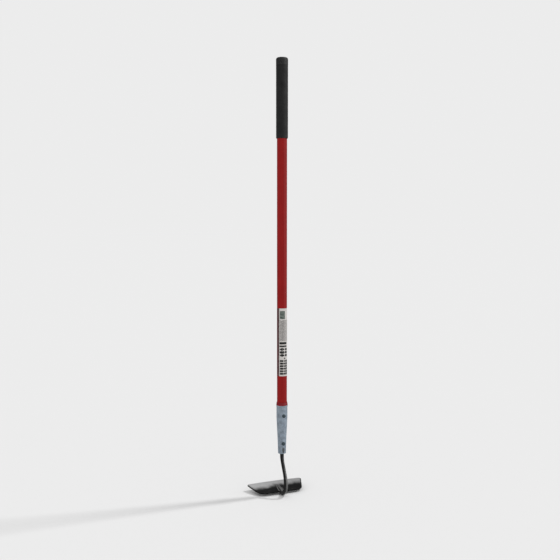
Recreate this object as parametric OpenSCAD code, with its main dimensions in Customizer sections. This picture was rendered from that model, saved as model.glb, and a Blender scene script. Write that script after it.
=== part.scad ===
// Garden draw hoe: a steel blade on a forged goose neck, a riveted ferrule,
// and a hollow fibreglass handle with a foam grip. Sizes are in millimetres.
// The handle's axis is Z, the ground that the heel stands on is z = 0, and
// the cutting edge points along +Y. The tool is symmetric about x = 0.

/* [Handle] */
// Height from the ground to the top of the grip
overall_h = 1388; // [1100:1:1700]
// Outside diameter of the handle tube
handle_od = 31.75; // [27:0.25:39]
// Wall of the handle tube
handle_wall = 2.6; // [2:0.1:3.6]
// Length of tube inside the ferrule
tube_engagement = 62; // [45:1:75]
// Flange of the plug that closes the tube's top end
plug_flange_t = 2; // [1:0.5:4]
// Depth of that plug inside the tube
plug_depth = 20; // [10:1:40]

/* [Grip] */
// Length of the whole grip, sleeve and cap together
grip_len = 247; // [150:1:320]
// Wall of the foam sleeve
foam_t = 2.8; // [2:0.1:6]
// Rounding at the sleeve's lower edge
foam_edge_r = 2.2; // [0.5:0.1:2.6]
// Height of the end cap
cap_len = 23; // [16:1:40]
// Solid top of the end cap
cap_top_t = 9; // [7:0.5:15]
// Rounding round the cap's top
cap_corner_r = 6; // [2:0.5:7]
// Height of the lower row of dimples above the cap's foot
dimple_rise = 6.9; // [3:0.1:8]
// Height from one row of dimples to the next
dimple_pitch = 5.75; // [4:0.05:6]
// Dimples in each row round the cap
dimple_count = 18; // [8:1:22]
// Radius of the ball that presses a dimple
dimple_r = 1.9; // [1:0.1:2.4]
// Depth of a dimple
dimple_depth = 0.8; // [0.3:0.1:1]

/* [Label] */
// Height of the wrap-round label
label_h = 217; // [80:1:260]
// Width of the label, measured round the tube
label_w = 50.8; // [25:0.1:80]
// Thickness of the label
label_t = 0.2; // [0.1:0.05:0.4]
// Height of the label above the ferrule's mouth
label_rise = 96; // [20:0.1:200]
// Direction that the label's first edge faces
label_turn = 201.5; // [0:0.5:360]

/* [Ferrule] */
// Height of the ferrule's lower end above the ground
foot_z = 138.5; // [120:0.1:170]
// Length of the ferrule
ferrule_len = 158; // [130:0.5:200]
// Length of its straight mouth, which takes the full tube
socket_len = 40; // [39:1:45]
// Wall of the ferrule
ferrule_wall = 1.6; // [1.2:0.1:2]
// Outside diameter at its lower end
foot_od = 25.2; // [22:0.1:27]
// Outside diameter where its two tapers meet
knee_od = 28.2; // [26:0.1:32]
// Height of that meeting above the lower end
knee_rise = 49; // [44:1:60]
// Height of the rolled lip round the mouth
lip_h = 4; // [2:0.5:8]
// How far the lip stands out
lip_out = 0.6; // [0.2:0.1:1]
// Width of the keeper crimp pressed into the front
crimp_w = 5.4; // [3:0.1:8]
// Length of the keeper crimp
crimp_len = 17; // [10:0.5:22]
// Height of the crimp above the ferrule's lower end
crimp_rise = 2.5; // [2:0.1:6]
// Depth of the crimp at its middle
crimp_depth = 0.9; // [0.4:0.1:1.2]

/* [Collar] */
// Height of the collar above the ferrule
collar_h = 9.8; // [6:0.1:16]
// Wall of the collar at its upper rim
collar_t = 0.9; // [0.6:0.1:1.5]
// Height of the collar's straight foot
collar_foot_h = 2.5; // [1:0.1:5]

/* [Rivets] */
// Distance of the upper rivet below the ferrule's mouth
upper_rivet_drop = 33; // [12:0.5:33]
// Height of the lower rivet above the ferrule's lower end
lower_rivet_rise = 33.5; // [30:0.5:36]
// Diameter of a rivet's shank
rivet_d = 4.8; // [3:0.1:6]
// Diameter of a rivet's head
rivet_head_d = 12; // [8:0.1:13]
// Diameter of the tail set on the back
rivet_tail_d = 9; // [6:0.1:11]
// How far a head or tail stands off the ferrule
rivet_proud = 2; // [1.2:0.1:3]
// Straight rim of a head or tail below its dome
rivet_rim = 0.5; // [0.2:0.1:0.9]

/* [Core] */
// Length of the wooden core inside the tube
core_engagement = 90; // [50:1:160]
// How far the core's foot sits above the ferrule's lower end
core_recess = 2; // [0.5:0.5:5]
// Diameter of the tang
tang_d = 11.6; // [9:0.1:12]
// Length of the tang above the core's foot
tang_len = 108; // [60:1:115]
// Length of the tang's point
tang_point = 14; // [8:1:24]
// Diameter at the end of the tang's point
tang_end_d = 4.6; // [2:0.1:8]

/* [Goose neck] */
// Diameter of the bar where it leaves the ferrule
bar_d = 12.6; // [12:0.1:15]
// Diameter of the bar at the waist of its bend
waist_d = 11.4; // [9:0.1:13]
// Straight bar below the ferrule
neck_lead = 5.5; // [2:0.5:10]
// How far the bend bows out in front of the handle's axis
bow = 34.2; // [29:0.1:42]
// Steepest slope of the bend, from the handle's axis
bend = 30; // [28:0.5:34]
// Share of the bend's arcs that the upper arc takes
upper_share = 0.41; // [0.3:0.01:0.6]
// Radius of the curl that turns the bar back under the handle
curl_r = 22; // [16:0.5:26]
// Slope of the bar between the curl and the heel, from the handle's axis
curl_slope = 50; // [44:1:56]
// Radius of the bend at the heel
heel_r = 16; // [12:0.5:20]
// Distance of the heel's lowest point in front of the handle's axis
heel_lead = 3; // [0:0.5:6]
// Width of the bar at the end of the curl
curl_w = 13; // [11:0.1:16]
// Width of the forged heel
heel_w = 14; // [11:0.1:18]
// Thickness of the forged heel
heel_t = 11.6; // [9:0.1:14]

/* [Tongue] */
// Distance from the heel's lowest point to the tongue's root
root_run = 16; // [13:0.5:22]
// Length of the tongue let into the blade
tongue_len = 32; // [20:1:40]
// Width of the tongue's root
root_w = 13; // [10:0.1:16]
// Thickness of the tongue's root
root_t = 8.4; // [6:0.1:10]
// Width of the tongue's tip
tip_w = 5; // [3:0.1:8]
// How far the tip stands proud of the blade's two faces together
tip_proud = 0.4; // [0.1:0.1:1]
// Leg of the weld beads along the tongue
bead_leg = 2.2; // [1.5:0.1:4]
// Distance from one weld ripple to the next
bead_pitch = 2.6; // [2:0.1:5]
// How much a ripple swells the bead, as a share of its leg
bead_swell = 0.14; // [0:0.01:0.3]

/* [Blade] */
// Width of the cutting edge
edge_w = 195; // [162:1:240]
// Width of the back edge
back_w = 144; // [119:1:158]
// Depth of the blade from back to cutting edge
blade_depth = 74; // [61:0.5:90]
// Thickness of the plate
blade_t = 3; // [2:0.1:4]
// Slope of the blade, rising to the cutting edge
blade_slope = 9.8; // [7:0.1:13]
// Height of the back edge's upper face
back_z = 11.4; // [10:0.1:13]
// Distance of the back edge behind the handle's axis
back_y = 1.5; // [0:0.1:5]
// Radius of the rounded back corners
back_corner_r = 29; // [8:0.5:34]
// Radius of the cutting edge's corners
edge_corner_r = 7.5; // [1:0.5:10]
// Radius of the crown across the blade
crown_r = 3000; // [1500:50:6000]
// Radius of the hollow from back to cutting edge
scoop_r = 420; // [260:10:900]
// Length of the ground bevel
bevel_len = 11; // [4:0.5:18]
// Steel left at the cutting edge
edge_t = 0.7; // [0.3:0.1:1.2]

/* [Fits] */
// Clearance on the radius between a piece and what it slides into
slide_gap = 0.05; // [0.02:0.01:0.12]
// Clearance on the radius round a rivet
rivet_gap = 0.05; // [0.02:0.01:0.12]
// Gap beside the tongue in the blade's slot
slot_gap = 0.15; // [0.05:0.05:0.4]

/* [Hidden] */

$fn = 96;
FINE = 256;
DIMPLE_SIDES = 32;
CORNER_STEPS = 8;
BEAD_SIDES = 6;
BEAD_STEPS = 4;
// A bead keeps its size along most of its length and shrinks to END_SIZE of
// it at both ends; the higher END_POWER is, the more sudden the ends are
END_POWER = 12;
END_SIZE = 0.2;
// How far a cutting tool reaches past what it cuts
OVERRUN = 1;

fibre_red = [0.55, 0.10, 0.12];
collar_red = [0.42, 0.10, 0.12];
foam_black = [0.13, 0.13, 0.13];
paper_white = [0.80, 0.78, 0.74];
zinc_grey = [0.55, 0.60, 0.64];
rivet_grey = [0.35, 0.42, 0.46];
ash_wood = [0.70, 0.55, 0.36];
bar_black = [0.10, 0.10, 0.10];
blade_black = [0.20, 0.20, 0.21];
weld_grey = [0.24, 0.23, 0.22];

// Handle, grip and ferrule
handle_r = handle_od / 2;
tube_bore_r = handle_r - handle_wall;
grip_r = handle_r + foam_t;
mouth_z = foot_z + ferrule_len;
socket_z = mouth_z - socket_len;
tube_foot_z = mouth_z - tube_engagement;
cap_ceiling_z = overall_h - cap_top_t;
tube_top_z = cap_ceiling_z - plug_flange_t;
cap_foot_z = overall_h - cap_len;
grip_foot_z = overall_h - grip_len;
socket_bore_r = handle_r + slide_gap;
ferrule_profile = [
  [foot_z, foot_od / 2],
  [foot_z + knee_rise, knee_od / 2],
  [socket_z, socket_bore_r + ferrule_wall],
  [mouth_z, socket_bore_r + ferrule_wall]
];
upper_rivet_z = mouth_z - upper_rivet_drop;
lower_rivet_z = foot_z + lower_rivet_rise;
core_foot_z = foot_z + core_recess;
core_top_z = tube_foot_z + core_engagement;
tang_top_z = core_foot_z + tang_len;

function ferrule_r(z) = lookup(z, ferrule_profile);
function ferrule_bore_r(z) = ferrule_r(z) - ferrule_wall;

// Blade surface: a circle about an axis along X that passes through both edges
half_depth = blade_depth / 2;
scoop_rise = sqrt(scoop_r * scoop_r - half_depth * half_depth);
scoop_y = back_y + half_depth * cos(blade_slope) - scoop_rise * sin(blade_slope);
scoop_z = back_z + half_depth * sin(blade_slope) + scoop_rise * cos(blade_slope);
front_y = back_y + blade_depth * cos(blade_slope);
front_z = back_z + blade_depth * sin(blade_slope);
// Height of a cut that passes right through the blade, half of it below z = 0
cut_h = 2 * (front_z + OVERRUN);

function surface_z(y, depth) =
  scoop_z - sqrt(pow(scoop_r + depth, 2) - pow(y - scoop_y, 2));
function surface_slope(y, depth) =
  (y - scoop_y) / sqrt(pow(scoop_r + depth, 2) - pow(y - scoop_y, 2));
function crown_fall(x) = crown_r - sqrt(crown_r * crown_r - x * x);

// Goose neck centre line: two opposed arcs with a straight between them, the
// curl, a straight, the heel's bend, a rise to the blade's middle plane, and
// the tongue
neck_top_z = foot_z - neck_lead;
heel_y = -heel_lead;
curl_run = bow - heel_lead - curl_r * (1 - cos(curl_slope)) - heel_r * cos(curl_slope);
curl_straight = curl_run / sin(curl_slope);
curl_foot_z = heel_t / 2 + heel_r * (1 - sin(curl_slope)) + curl_straight * cos(curl_slope);
curl_top_z = curl_foot_z + curl_r * sin(curl_slope);
bend_drop = neck_top_z - curl_top_z;
bend_arcs = (bow * cos(bend) - bend_drop * sin(bend)) / (cos(bend) - 1);
bend_straight = (bow * sin(bend) - bend_drop * (1 - cos(bend))) / (1 - cos(bend));
upper_r = bend_arcs * upper_share;
lower_r = bend_arcs - upper_r;
root_y = heel_y + root_run;
tip_y = root_y + tongue_len;
root_z = surface_z(root_y, blade_t / 2);
root_slope = surface_slope(root_y, blade_t / 2);
straight_start = [-upper_r * (1 - cos(bend)), neck_top_z - upper_r * sin(bend)];
lower_start = straight_start - bend_straight * [sin(bend), cos(bend)];

// Section sizes at the neck's stages: ferrule, end of upper arc, end of
// straight, end of lower arc, heel, tongue root, tongue tip
neck_widths = [bar_d, waist_d, waist_d, curl_w, heel_w, root_w, tip_w];
neck_heights = [bar_d, waist_d, waist_d, heel_t, heel_t, root_t, blade_t + tip_proud];
neck_corners = [2, 2, 2, 2.2, 2.5, 3, 3];
ARC_STEPS = 12;
CURL_STEPS = 12;
TONGUE_STEPS = 14;
RING_SIDES = 32;
EDGE_STEPS = 24;
HEEL_STAGE = 4;
ROOT_STAGE = 5;

function smooth(f) = f * f * (3 - 2 * f);
function staged(values, q) =
  let (i = min(floor(q), len(values) - 2))
  values[i] + (values[i + 1] - values[i]) * smooth(q - i);
function stage_at(y) =
  y < root_y ? HEEL_STAGE + (y - heel_y) / root_run
             : ROOT_STAGE + (y - root_y) / tongue_len;
function neck_half_width(y) =
  staged(neck_widths, min(max(stage_at(y), HEEL_STAGE), ROOT_STAGE + 1)) / 2;
function rise_z(u) =
  let (h = heel_t / 2)
  h + (root_z - h) * smooth(u) + (pow(u, 3) - pow(u, 2)) * root_run * root_slope;
function rise_slope(u) =
  (root_z - heel_t / 2) * 6 * u * (1 - u) / root_run
  + (3 * u * u - 2 * u) * root_slope;

// Each stop on the neck is [y, z, heading from straight down, stage]
neck_path = concat(
  [[0, core_foot_z, 0, 0], [0, foot_z, 0, 0]],
  [for (i = [0:ARC_STEPS]) let (h = bend * i / ARC_STEPS)
    [-upper_r * (1 - cos(h)), neck_top_z - upper_r * sin(h), h, i / ARC_STEPS]],
  [for (i = [1:3]) let (p = straight_start + (lower_start - straight_start) * i / 4)
    [p.x, p.y, bend, 1 + i / 4]],
  [for (i = [0:ARC_STEPS]) let (h = bend * (1 - i / ARC_STEPS))
    [lower_start.x + lower_r * (cos(bend) - cos(h)),
     lower_start.y - lower_r * (sin(bend) - sin(h)), h, 2 + i / ARC_STEPS]],
  [for (i = [1:CURL_STEPS]) let (c = curl_slope * i / CURL_STEPS)
    [-bow + curl_r * (1 - cos(c)), curl_top_z - curl_r * sin(c), -c,
     HEEL_STAGE - 1 + 0.5 * i / CURL_STEPS]],
  [for (i = [0:CURL_STEPS])
    let (c = curl_slope + (90 - curl_slope) * i / CURL_STEPS)
    [heel_y - heel_r * cos(c), heel_t / 2 + heel_r * (1 - sin(c)), -c,
     HEEL_STAGE - 0.4 * (1 - i / CURL_STEPS)]],
  [for (i = [1:ARC_STEPS]) let (u = i / ARC_STEPS)
    [heel_y + root_run * u, rise_z(u), -90 - atan(rise_slope(u)), HEEL_STAGE + u]],
  [for (i = [1:TONGUE_STEPS])
    let (u = i / TONGUE_STEPS, y = root_y + tongue_len * u)
    [y, surface_z(y, blade_t / 2), -90 - atan(surface_slope(y, blade_t / 2)),
     ROOT_STAGE + u]]
);

// A rounded-square section is a circle at corner 2 and squarer above it
function lobe(v, corner) = sign(v) * pow(abs(v), 2 / corner);
function neck_ring(stop) =
  let (w = staged(neck_widths, stop[3]), t = staged(neck_heights, stop[3]),
       corner = staged(neck_corners, stop[3]), h = stop[2])
  [for (k = [0:RING_SIDES - 1])
    let (a = 360 * k / RING_SIDES, up = t / 2 * lobe(sin(a), corner))
    [w / 2 * lobe(cos(a), corner), stop[0] + up * cos(h), stop[1] - up * sin(h)]];

// Closed skin over a list of rings that all have the same number of points
module loft(rings) {
  sides = len(rings[0]);
  last = len(rings) - 1;
  walls = [
    for (i = [0:last - 1], k = [0:sides - 1])
      let (a = i * sides + k, b = i * sides + (k + 1) % sides)
      each [[a, b, b + sides], [a, b + sides, a + sides]]
  ];
  ends = [
    [for (k = [sides - 1:-1:0]) k],
    [for (k = [0:sides - 1]) last * sides + k]
  ];
  polyhedron([for (ring = rings) each ring], concat(walls, ends), convexity = 8);
}

// Ring of material between two radii, as a profile for rotate_extrude
module band(inner, outer, z0, z1) {
  translate([inner, z0]) square([outer - inner, z1 - z0]);
}

// What a round of radius r leaves in a corner that points to +X, +Y
module corner_waste(r) {
  difference() {
    square(r + OVERRUN);
    circle(r);
  }
}

// Bore along Y right through the tool at height z
module cross_bore(r, z) {
  translate([0, 0, z]) rotate([90, 0, 0]) cylinder(h = 3 * handle_od, r = r, center = true);
}

module rivet_bores() {
  for (z = [lower_rivet_z, upper_rivet_z]) cross_bore(rivet_d / 2 + rivet_gap, z);
}

// Outside of the ferrule, filled
module ferrule_body() {
  rotate_extrude() polygon(concat(
    [[0, foot_z]],
    [for (p = ferrule_profile) [p[1], p[0]]],
    [[0, mouth_z]]
  ));
}

module handle_tube() {
  color(fibre_red) difference() {
    rotate_extrude() polygon([
      [tube_bore_r, tube_foot_z],
      [ferrule_bore_r(tube_foot_z) - slide_gap, tube_foot_z],
      [handle_r, socket_z],
      [handle_r, tube_top_z],
      [tube_bore_r, tube_top_z]
    ]);
    rivet_bores();
  }
}

module tube_end_plug() {
  color(ash_wood) rotate_extrude() {
    band(0, tube_bore_r - slide_gap, tube_top_z - plug_depth, tube_top_z + plug_flange_t / 2);
    band(0, handle_r, tube_top_z, cap_ceiling_z);
  }
}

module grip_sleeve() {
  color(foam_black) rotate_extrude() difference() {
    band(handle_r + slide_gap, grip_r, grip_foot_z, cap_foot_z);
    translate([grip_r - foam_edge_r, grip_foot_z + foam_edge_r])
      mirror([0, 1]) corner_waste(foam_edge_r);
  }
}

module grip_cap() {
  color(foam_black) difference() {
    rotate_extrude() difference() {
      band(0, grip_r, cap_foot_z, overall_h);
      band(-OVERRUN, handle_r + slide_gap, cap_foot_z - OVERRUN, cap_ceiling_z);
      translate([grip_r - cap_corner_r, overall_h - cap_corner_r]) corner_waste(cap_corner_r);
    }
    for (row = [0, 1], i = [0:dimple_count - 1])
      rotate((i + row / 2) * 360 / dimple_count)
        translate([
          grip_r + dimple_r - dimple_depth,
          0,
          cap_foot_z + dimple_rise + row * dimple_pitch
        ]) sphere(dimple_r, $fn = DIMPLE_SIDES);
  }
}

module label() {
  color(paper_white) rotate(label_turn)
    rotate_extrude(angle = label_w / handle_r * 180 / PI)
      band(handle_r, handle_r + label_t, mouth_z + label_rise, mouth_z + label_rise + label_h);
}

// Stadium-shaped dent with round ends, pressed into the front of the ferrule
module keeper_crimp() {
  low_z = foot_z + crimp_rise + crimp_w / 2;
  high_z = foot_z + crimp_rise + crimp_len - crimp_w / 2;
  floor_y = ferrule_r((low_z + high_z) / 2) - crimp_depth;
  translate([0, -floor_y, 0]) rotate([90, 0, 0]) linear_extrude(foot_od) {
    for (z = [low_z, high_z]) translate([0, z]) circle(crimp_w / 2);
    translate([-crimp_w / 2, low_z]) square([crimp_w, high_z - low_z]);
  }
}

module ferrule() {
  color(zinc_grey) difference() {
    union() {
      ferrule_body();
      rotate_extrude() band(0, socket_bore_r + ferrule_wall + lip_out, mouth_z - lip_h, mouth_z);
    }
    rotate_extrude() polygon(concat(
      [[0, foot_z - OVERRUN], [ferrule_bore_r(foot_z), foot_z - OVERRUN]],
      [for (p = ferrule_profile) [p[1] - ferrule_wall, p[0]]],
      [[socket_bore_r, mouth_z + OVERRUN], [0, mouth_z + OVERRUN]]
    ));
    rivet_bores();
    keeper_crimp();
  }
}

module collar() {
  foot_r = socket_bore_r + ferrule_wall + lip_out;
  color(collar_red) rotate_extrude() polygon([
    [socket_bore_r, mouth_z],
    [foot_r, mouth_z],
    [foot_r, mouth_z + collar_foot_h],
    [socket_bore_r + collar_t, mouth_z + collar_h],
    [socket_bore_r, mouth_z + collar_h]
  ]);
}

module core_plug() {
  knee_z = foot_z + knee_rise;
  color(ash_wood) difference() {
    rotate_extrude() polygon([
      [0, core_foot_z],
      [ferrule_bore_r(core_foot_z) - slide_gap, core_foot_z],
      [ferrule_bore_r(knee_z) - slide_gap, knee_z],
      [ferrule_bore_r(tube_foot_z) - slide_gap, tube_foot_z],
      [tube_bore_r - slide_gap, tube_foot_z],
      [tube_bore_r - slide_gap, core_top_z],
      [0, core_top_z]
    ]);
    translate([0, 0, core_foot_z - OVERRUN])
      cylinder(h = OVERRUN + tang_len - tang_point, r = tang_d / 2 + slide_gap);
    translate([0, 0, tang_top_z - tang_point])
      cylinder(h = tang_point, r1 = tang_d / 2 + slide_gap, r2 = tang_end_d / 2 + slide_gap);
    rivet_bores();
    cut_core_for_crimp();
  }
}

// The crimp's inner face presses the same stadium into the core
module cut_core_for_crimp() {
  translate([0, ferrule_wall + slide_gap, 0]) keeper_crimp();
}

// Shank through the ferrule, a domed head in front and a smaller tail behind
module rivet(z) {
  reach = ferrule_r(z);
  color(rivet_grey) {
    translate([0, 0, z]) rotate([90, 0, 0])
      cylinder(h = 2 * reach + rivet_proud, r = rivet_d / 2, center = true);
    rivet_dome(z, rivet_head_d, -1);
    rivet_dome(z, rivet_tail_d, 1);
  }
}

// Round head with a domed top, shaped underneath to the ferrule's curve;
// side is -1 in front and 1 behind
module rivet_dome(z, d, side) {
  reach = ferrule_r(z);
  dome_h = rivet_proud - rivet_rim;
  ball_r = (d * d / 4 + dome_h * dome_h) / (2 * dome_h);
  difference() {
    intersection() {
      translate([0, side * (reach + rivet_proud - ball_r), z]) sphere(ball_r);
      translate([0, side * reach, z]) rotate([90, 0, 0])
        cylinder(h = reach, r = d / 2, center = true);
    }
    translate([0, 0, z - d / 2]) cylinder(h = d, r1 = ferrule_r(z - d / 2), r2 = ferrule_r(z + d / 2));
  }
}

module upper_rivet() {
  rivet(upper_rivet_z);
}

module lower_rivet() {
  rivet(lower_rivet_z);
}

module neck() {
  color(bar_black) {
    loft([for (stop = neck_path) neck_ring(stop)]);
    difference() {
      union() {
        translate([0, 0, foot_z - neck_lead])
          cylinder(h = core_recess + neck_lead + tang_len - tang_point, r = tang_d / 2);
        translate([0, 0, tang_top_z - tang_point])
          cylinder(h = tang_point, r1 = tang_d / 2, r2 = tang_end_d / 2);
      }
      cross_bore(rivet_d / 2 + rivet_gap, lower_rivet_z);
    }
  }
}

// Plan outline of a symmetric four-sided plate with rounded corners
module plate_outline() {
  side_angle = atan2(front_y - back_y, (edge_w - back_w) / 2);
  polygon(concat(
    rounded_corner([edge_w / 2, front_y], 90, side_angle - 90, edge_corner_r, side_angle),
    rounded_corner([back_w / 2, back_y], side_angle - 90, -90, back_corner_r, 180 - side_angle),
    rounded_corner([-back_w / 2, back_y], -90, -90 - side_angle, back_corner_r, 180 - side_angle),
    rounded_corner([-edge_w / 2, front_y], -90 - side_angle, -270, edge_corner_r, side_angle)
  ));
}

// Arc that rounds the corner at p, between outward directions a0 and a1;
// inside is the angle between the two sides that meet there
function rounded_corner(p, a0, a1, r, inside) =
  let (mid = (a0 + a1) / 2, c = p - r / sin(inside / 2) * [cos(mid), sin(mid)])
  [for (i = [0:CORNER_STEPS]) let (a = a0 + (a1 - a0) * i / CORNER_STEPS)
    c + r * [cos(a), sin(a)]];

// Everything inside the crown curve, as a cross-section of the plate
module crown_disc(top) {
  translate([0, top - crown_r]) circle(crown_r, $fn = FINE);
}

// Plate with the crown and the hollow, wider and deeper than the outline
module dished_plate() {
  reach = edge_w / 2 + OVERRUN;
  deep = blade_t + crown_fall(reach) + OVERRUN;
  sweep = 2 * asin((half_depth + 2 * blade_t) / scoop_r);
  translate([0, scoop_y, scoop_z]) rotate([blade_slope, 0, 0]) rotate([0, 90, 0])
    rotate([0, 0, -sweep / 2]) rotate_extrude(angle = sweep, $fn = FINE)
      rotate(90) difference() {
        intersection() {
          translate([-reach, -scoop_r - deep]) square([2 * reach, deep + OVERRUN]);
          crown_disc(-scoop_r);
        }
        crown_disc(-scoop_r - blade_t);
      }
}

// Waste above the ground bevel, a sloping cut that follows the crown
module bevel_waste() {
  drop = atan((blade_t - edge_t) / bevel_len);
  edge_slope = atan(surface_slope(front_y, 0));
  translate([0, front_y, front_z - (blade_t - edge_t)])
    rotate([90 + edge_slope - drop, 0, 0]) linear_extrude(4 * bevel_len, center = true)
      difference() {
        translate([-edge_w / 2 - OVERRUN, -2 * crown_fall(edge_w / 2)])
          square([edge_w + 2 * OVERRUN, 4 * blade_t + 2 * crown_fall(edge_w / 2)]);
        crown_disc(0);
      }
}

// Plan outline of the tongue with a gap all round
module tongue_outline(gap) {
  from_y = heel_y - OVERRUN;
  to_y = tip_y + gap;
  edge = [for (i = [0:EDGE_STEPS]) let (y = from_y + (to_y - from_y) * i / EDGE_STEPS)
    [neck_half_width(y) + gap, y]];
  polygon(concat(edge, [for (i = [EDGE_STEPS:-1:0]) [-edge[i].x, edge[i].y]]));
}

module blade() {
  color(blade_black) difference() {
    intersection() {
      dished_plate();
      linear_extrude(cut_h, center = true) plate_outline();
    }
    bevel_waste();
    linear_extrude(cut_h, center = true) tongue_outline(slot_gap);
  }
}

// Cross-section of a bead at y: a rounded fillet in the corner between the
// tongue's side and the blade; face is 1 on the blade's upper face, -1 below
function bead_size(y, y0, y1) =
  let (f = 2 * (y - y0) / (y1 - y0) - 1,
       ends = max(END_SIZE, sqrt(1 - pow(f, END_POWER))))
  bead_leg * ends * (1 + bead_swell * cos(360 * (y - y0) / bead_pitch));
function bead_ring(y, y0, y1, face) =
  let (r = bead_size(y, y0, y1), x0 = neck_half_width(y) + slot_gap,
       depth = face > 0 ? 0 : blade_t)
  concat(
    [[x0, y, surface_z(y, depth) - crown_fall(x0)]],
    [for (k = [0:BEAD_SIDES])
      let (a = 90 * k / BEAD_SIDES, x = x0 + r * cos(a))
      [x, y, surface_z(y, depth) - crown_fall(x) + face * r * sin(a)]]
  );

module weld_bead(face) {
  y0 = back_y + slot_gap;
  y1 = tip_y;
  steps = round((y1 - y0) / bead_pitch * BEAD_STEPS);
  rings = [for (i = [0:steps]) bead_ring(y0 + (y1 - y0) * i / steps, y0, y1, face)];
  loft(face > 0 ? [for (i = [steps:-1:0]) rings[i]] : rings);
}

module weld_beads() {
  color(weld_grey) for (face = [-1, 1]) {
    weld_bead(face);
    mirror([1, 0, 0]) weld_bead(face);
  }
}

handle_tube();
tube_end_plug();
grip_sleeve();
grip_cap();
label();
ferrule();
collar();
core_plug();
upper_rivet();
lower_rivet();
neck();
blade();
weld_beads();
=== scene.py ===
"""Looks of a garden draw hoe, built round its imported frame.

The handle's axis is Z, the ground is z = 0 and the cutting edge points along
+Y. Every piece belongs to one rigid tool, so all of them ride on "root".
"""

from __future__ import annotations

import logging
import math
from dataclasses import dataclass
from enum import Enum
from functools import cached_property, reduce
from typing import Callable, Optional

import bpy
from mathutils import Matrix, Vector, noise


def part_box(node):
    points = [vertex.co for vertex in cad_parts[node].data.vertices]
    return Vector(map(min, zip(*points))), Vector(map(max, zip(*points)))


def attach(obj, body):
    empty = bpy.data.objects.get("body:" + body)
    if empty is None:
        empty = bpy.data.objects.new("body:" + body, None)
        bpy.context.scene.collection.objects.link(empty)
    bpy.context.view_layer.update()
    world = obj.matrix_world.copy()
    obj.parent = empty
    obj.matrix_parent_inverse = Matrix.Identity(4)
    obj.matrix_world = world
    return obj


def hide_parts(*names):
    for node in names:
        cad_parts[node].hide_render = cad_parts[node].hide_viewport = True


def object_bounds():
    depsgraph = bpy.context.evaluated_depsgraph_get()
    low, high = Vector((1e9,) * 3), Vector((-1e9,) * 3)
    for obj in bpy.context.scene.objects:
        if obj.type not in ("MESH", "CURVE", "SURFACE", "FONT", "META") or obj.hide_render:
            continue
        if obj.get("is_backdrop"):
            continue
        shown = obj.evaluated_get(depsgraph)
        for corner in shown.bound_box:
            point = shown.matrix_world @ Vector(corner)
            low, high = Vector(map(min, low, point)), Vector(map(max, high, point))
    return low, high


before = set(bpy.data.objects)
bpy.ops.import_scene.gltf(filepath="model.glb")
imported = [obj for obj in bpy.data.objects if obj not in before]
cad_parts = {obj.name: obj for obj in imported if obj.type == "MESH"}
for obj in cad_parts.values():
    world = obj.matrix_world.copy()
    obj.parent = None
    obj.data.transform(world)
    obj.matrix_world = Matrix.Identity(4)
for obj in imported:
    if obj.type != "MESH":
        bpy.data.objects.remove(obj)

LOG = logging.getLogger("hoe")
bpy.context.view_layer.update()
MM = 0.001
BODY = "root"
MERGE_REACH = 0.004 * MM
Colour = tuple[float, float, float]
Vector3 = tuple[float, float, float]
Socket = bpy.types.NodeSocket
Tree = bpy.types.NodeTree
Material = bpy.types.Material
Piece = bpy.types.Object


class Wear(Enum):
    """How hard a surface has been used."""

    FRESH = 0.15
    HANDLED = 0.5
    SCOURED = 1.0


# ---- shader work


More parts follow.
